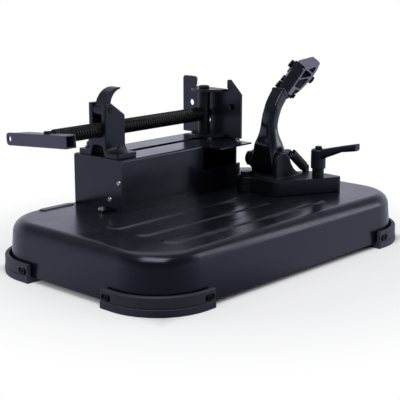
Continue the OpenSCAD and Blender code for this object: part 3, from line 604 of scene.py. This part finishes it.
def vise_screw():
    low, high = box_mm("vise_screw")
    y, z = (low.y + high.y) / 2, (low.z + high.z) / 2
    start = low.x + TANG_LENGTH
    shoulder = sum(corner.x for corner in box_mm("jaw_post")) / 2 - SHOULDER_TO_POST
    rod = threaded_rod((start, y, z), X_AXIS, shoulder - start, (high.z - low.z) / 2,
                       THREAD_PITCH, THREAD_DEPTH, PLAIN_LENGTH)
    tang = lathe(TANG, (low.x, y, z), X_AXIS)
    spigot = lathe(SPIGOT, (shoulder - SPIGOT_OVERLAP, y, z), X_AXIS)
    screw = new_piece("vise_screw_thread", *merged(rod, tang, spigot), "screw", "black_oxide")
    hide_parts("vise_screw")


vise_screw()

# ---- crank, sheet parts, castings and fasteners ----

ARM_SHAFT = (108.0, 176.0)  # heights between which the swing arm's shaft is made round

rounded("crank_tube", "crank_handle", width=0.5)
rounded("crank_bolt", "crank_bolt_rounded", width=0.35)

rounded("jaw_plate", "jaw_sheet", width=0.5, look="satin_black")
rounded("vise_bed", "bed_sheet", width=0.5)
rounded("bed_end_plate", "bed_front_sheet", width=0.5)
rounded("fence_plate", "fence_sheet", width=0.5)
rounded("post_cap", "post_head", width=0.4)

cast("screw_block", "screw_support_casting", voxel=0.6, smooths=7)
rounded("half_nut_lever", "half_nut_casting", width=0.7, segments=3)
cast("swivel_base", "mitre_casting", voxel=0.75, smooths=9)
cast("swing_arm", "swing_arm_casting", voxel=0.9, smooths=24, look="arm_black", shaft=ARM_SHAFT)
cast("lock_lever", "clamping_lever_casting", voxel=0.5, smooths=8)
cast("clamp_block", "clamp_block_casting", voxel=0.5, smooths=5)
cast("grinder_frame", "tool_frame_casting", voxel=0.5, smooths=5, look="frame_paint")


def bare_frame_face(facing=0.7):
    """The tool frame's largest face toward -Y is machined down to the metal."""
    mesh = NODES["grinder_frame"].data
    near_faces = [face for face in mesh.polygons if face.normal.y < -facing]
    normal = max(near_faces, key=lambda face: face.area).normal
    machined(frame_paint, normal, max(normal @ vertex.co for vertex in mesh.vertices))


bare_frame_face()

FASTENER_EDGES = {
    "clamp_bolts": 0.3,
    "clamp_nuts": 0.3,
    "swivel_bolt": 0.4,
    "pivot_axle": 0.5,
    "guide_nut": 0.4,
    "block_nuts": 0.3,
    "bed_screws": 0.25,
    "foot_screws": 0.25,
    "lock_screw": 0.3,
    "spring_anchor": 0.5,
}
FASTENER_LOOKS = {"block_nuts": "dark_zinc", "bed_screws": "zinc_steel", "pivot_axle": "dark_zinc"}
for node, width in FASTENER_EDGES.items():
    rounded(node, node + "_rounded", width, FASTENER_LOOKS.get(node))

# ---- springs ----

RETURN_SPRING = {"radius": 5.5, "wire": 2.1, "turns": 11, "hook": 3.0}
RETURN_SPRING_INSET = Vector((1.0, 0.9, -1.5))
LOCK_SPRING = {"radius": 3.7, "wire": 0.7, "turns": 5}
LOCK_SPRING_INSET = 0.4


def return_spring():
    low, high = box_mm("return_spring")
    middle_y = (low.y + high.y) / 2
    start = Vector((low.x, middle_y, high.z)) + RETURN_SPRING_INSET
    end = Vector((high.x, middle_y, low.z)) - RETURN_SPRING_INSET
    shape = coil(start, end, **RETURN_SPRING)
    spring = new_piece("return_spring_coil", *shape, "turntable", "spring_steel", angle=SHARP_SOFT)
    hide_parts("return_spring")


def lock_spring():
    low, high = box_mm("lock_spring")
    x, y = (low.x + high.x) / 2, (low.y + high.y) / 2
    shape = coil((x, y, low.z + LOCK_SPRING_INSET), (x, y, high.z - LOCK_SPRING_INSET), **LOCK_SPRING)
    spring = new_piece("lock_spring_coil", *shape, "lock_core", "spring_steel", angle=SHARP_SOFT)
    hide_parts("lock_spring")


return_spring()
lock_spring()

# ---- remaining CAD nodes keep their own meshes ----

for name, slot in SLOTS.items():
    node = NODES[name]
    if not node.hide_render:
        dress(node, slot, SHARP_CAD)
        flatten_faces(node)

# ---- stage: a white floor and a world of light that is darker on the camera's side; in metres ----

FLOOR_SIZE = 60.0
CAMERA_SIDE = Vector((-0.73, -0.68, 0.0)).normalized()
SKY_COLOUR = (0.87, 0.9, 1.07, 1.0)
WHITE = (1.0, 1.0, 1.0, 1.0)


def studio_paper():
    """Paper that is half lit and half plain white near the stand, and plain white far off.

    Only the camera sees that. For light and reflections the paper glows, less on the camera's side.
    Under the base it neither glows nor turns white, so that the base's slots stay dark.
    """
    paper = Shader("studio_paper")
    tone = paper.mix(paper.noise(1.4, 2.0), (0.95, 0.95, 0.95), (0.98, 0.98, 0.98))
    paper.set(paper.surface, Base_Color=tone, Roughness=0.8)
    place = paper.add("ShaderNodeNewGeometry").outputs["Position"]
    far = paper.ramp(paper.length(place), 0.5, 1.0, start=0.24, end=0.4)
    across = paper.split(place)
    reach_x = paper.math("DIVIDE", paper.math("ABSOLUTE", across["X"]), cad_box[1][0])
    reach_y = paper.math("DIVIDE", paper.math("ABSOLUTE", across["Y"]), cad_box[1][1])
    outside = paper.ramp(paper.math("MAXIMUM", reach_x, reach_y), 0.0, 1.0, start=0.9, end=1.0)
    white = paper.add("ShaderNodeEmission")
    lit = paper.mix_shader(paper.math("MULTIPLY", far, outside), paper.surface.outputs[0], white.outputs[0])
    facing = paper.dot(paper.unit(place), CAMERA_SIDE)
    strength = paper.math("MULTIPLY", paper.ramp(facing, 0.75, 0.26, start=0.45, end=0.98), outside)
    glow = paper.set(paper.add("ShaderNodeEmission"), Color=SKY_COLOUR, Strength=strength)
    seen = paper.add("ShaderNodeLightPath").outputs["Is Camera Ray"]
    paper.feed(paper.out.inputs[0], paper.mix_shader(seen, glow.outputs[0], lit))
    return paper.material


def studio_floor():
    bpy.ops.mesh.primitive_plane_add(size=FLOOR_SIZE, location=(0, 0, 0))
    floor = bpy.context.object
    floor.name = "studio_floor"
    floor.data.materials.append(studio_paper())


def studio_world():
    """Plain white to the camera; for light and reflections dimmer overhead and on the camera's side."""
    world = bpy.data.worlds.new("studio")
    bpy.context.scene.world = world
    world.use_nodes = True
    sky = NodeTree(world.node_tree)
    direction = sky.add("ShaderNodeTexCoord").outputs["Generated"]
    beside = sky.ramp(sky.dot(direction, CAMERA_SIDE), 0.97, 0.2, start=-0.55, end=0.8)
    overhead = sky.ramp(sky.split(direction)["Z"], 1.0, 0.28, start=0.22, end=0.6)
    strength = sky.math("MULTIPLY", beside, overhead)
    soft = sky.set(sky.add("ShaderNodeBackground"), Color=SKY_COLOUR, Strength=strength)
    plain = sky.set(sky.add("ShaderNodeBackground"), Color=WHITE)
    seen = sky.add("ShaderNodeLightPath").outputs["Is Camera Ray"]
    out = sky.add("ShaderNodeOutputWorld")
    sky.feed(out.inputs[0], sky.mix_shader(seen, soft.outputs[0], plain.outputs[0]))


def softbox(name, location, size, power, target=(0, 0, 0.1)):
    """A rectangular lamp that faces target."""
    data = bpy.data.lights.new(name, "AREA")
    data.shape = "RECTANGLE"
    data.size, data.size_y = size
    data.energy = power
    lamp = add_object(name, data)
    lamp.location = location
    lamp.rotation_euler = (Vector(target) - Vector(location)).to_track_quat("-Z", "Y").to_euler()


def photo_camera(location, yaw, down, lens, sensor=36.0):
    """The photo's camera; yaw and down are degrees, lens and sensor width millimetres."""
    data = bpy.data.cameras.new("photo_camera")
    data.sensor_width = sensor
    data.lens = lens
    yaw, down = math.radians(yaw), math.radians(down)
    look = Vector((math.cos(down) * math.cos(yaw), math.cos(down) * math.sin(yaw), -math.sin(down)))
    camera = add_object("photo_camera", data)
    camera.location = location
    camera.rotation_euler = look.to_track_quat("-Z", "Y").to_euler()
    bpy.context.scene.camera = camera


studio_floor()
studio_world()
softbox("key_softbox", location=(-0.7, -0.35, 1.6), size=(1.1, 0.8), power=15.0)
softbox("back_softbox", location=(0.7, 0.9, 1.9), size=(1.6, 1.2), power=5.0)
softbox("side_strip", location=(1.2, -0.9, 0.8), size=(0.4, 1.2), power=4.0)
photo_camera(location=(-0.93946, -0.85731, 0.36485), yaw=42.952, down=13.193, lens=94.57)
bpy.context.scene.view_settings.view_transform = "Standard"
